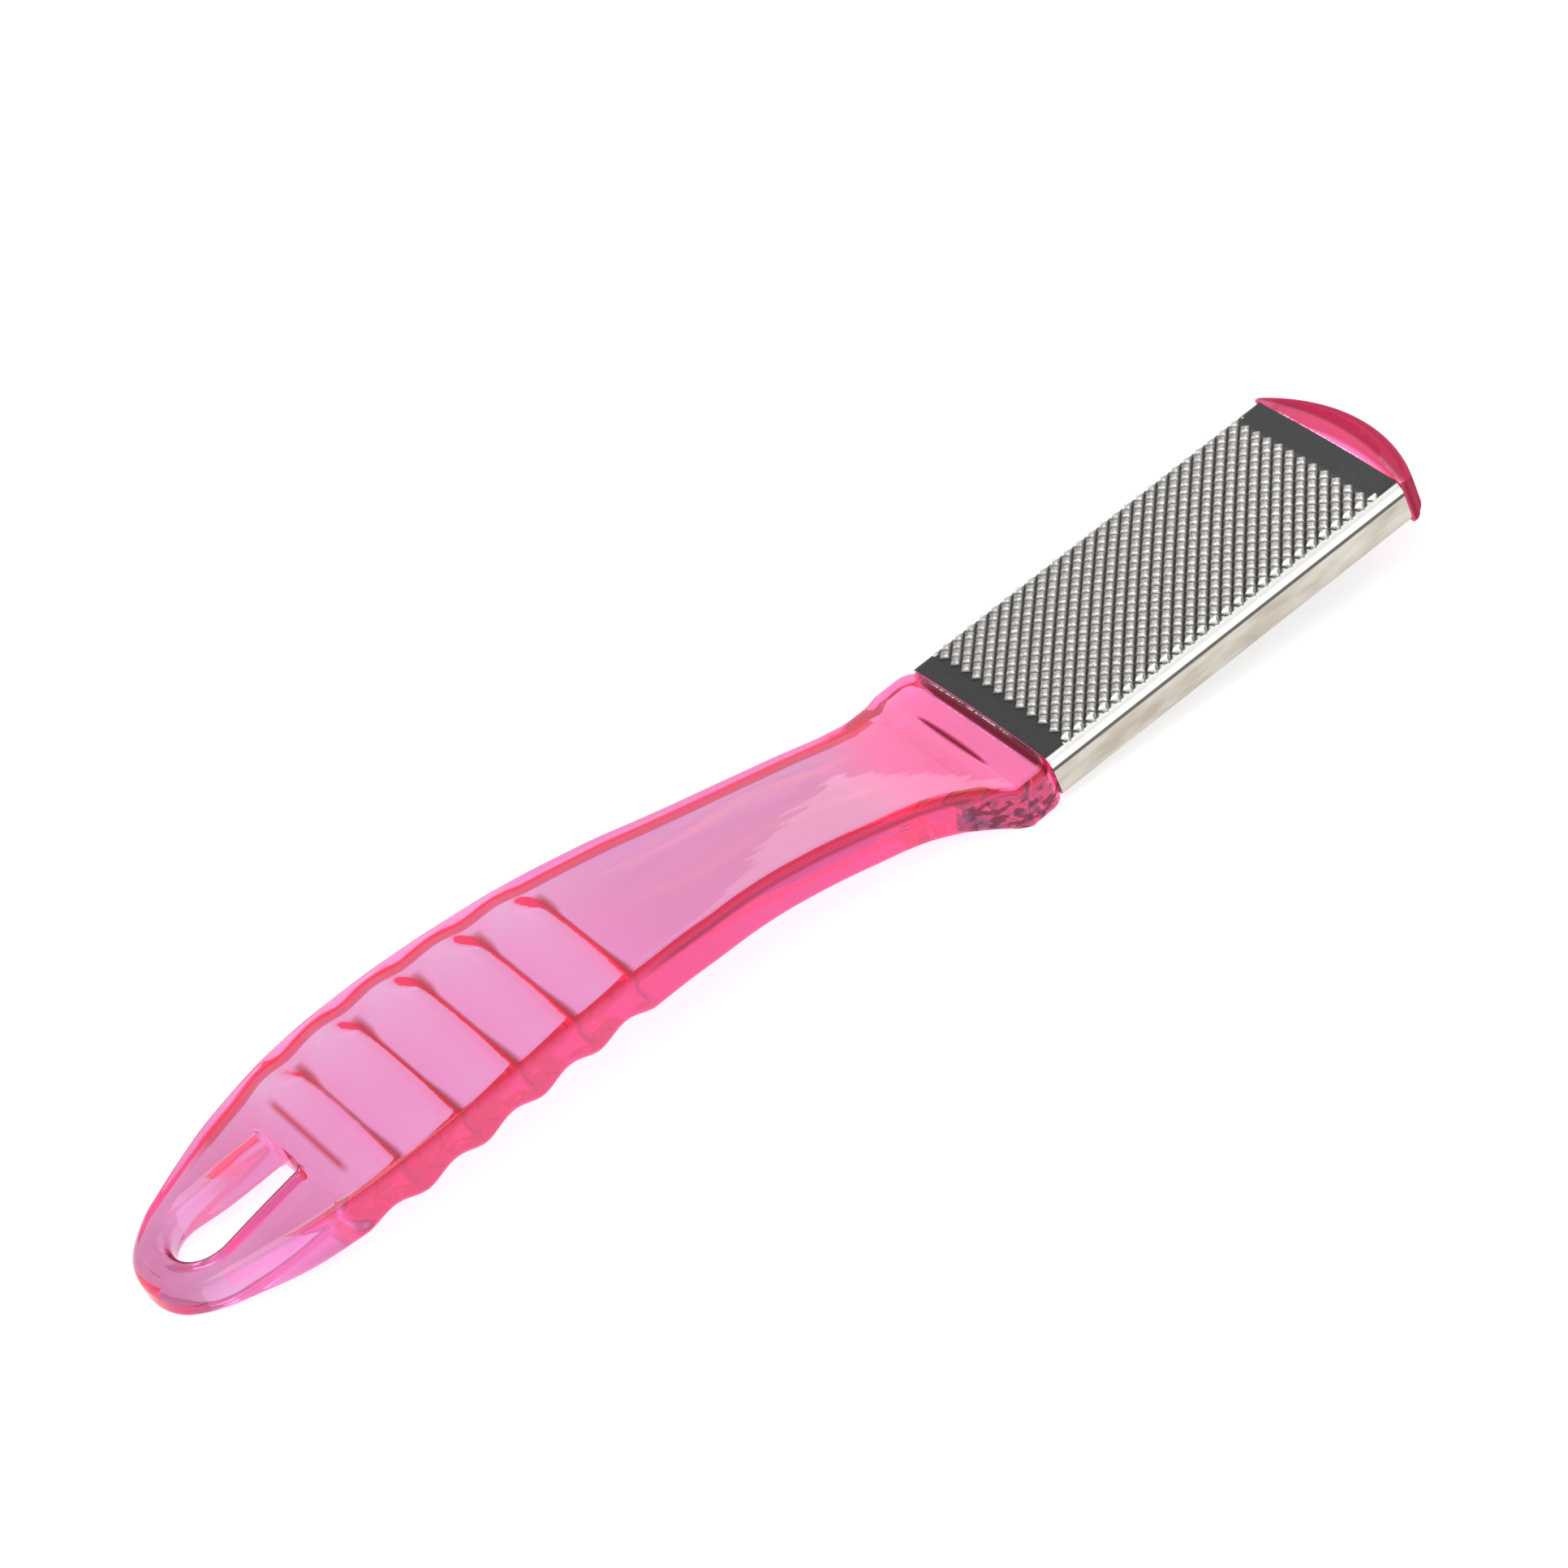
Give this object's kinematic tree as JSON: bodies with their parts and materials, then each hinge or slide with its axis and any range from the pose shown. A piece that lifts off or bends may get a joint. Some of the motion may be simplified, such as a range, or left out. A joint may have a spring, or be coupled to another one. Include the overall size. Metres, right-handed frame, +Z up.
{
  "type": "foot file",
  "caption": "Foot file with a curved clear handle, a hang slot, finger hollows and a flat head carrying a toothed coarse plate over a fine plate.",
  "frame": {"origin": "middle of the lowest face of the bounding box, on the table under the tool as it lies on its shoulder and its tail", "axes": "+X along the tool from the tail to the tip, +Y across it, +Z up from the table"},
  "size_m": [0.235, 0.0396, 0.0181],
  "materials": {
    "clear_plastic": "clear pink, polished",
    "coarse_steel": "bright teeth over a dark etched ground",
    "fine_steel": "fine cut, satin"
  },
  "bodies": {
    "root": {"handle": "clear_plastic", "coarse_file_plate": "coarse_steel", "fine_file_plate": "fine_steel"}
  },
  "joints": []
}
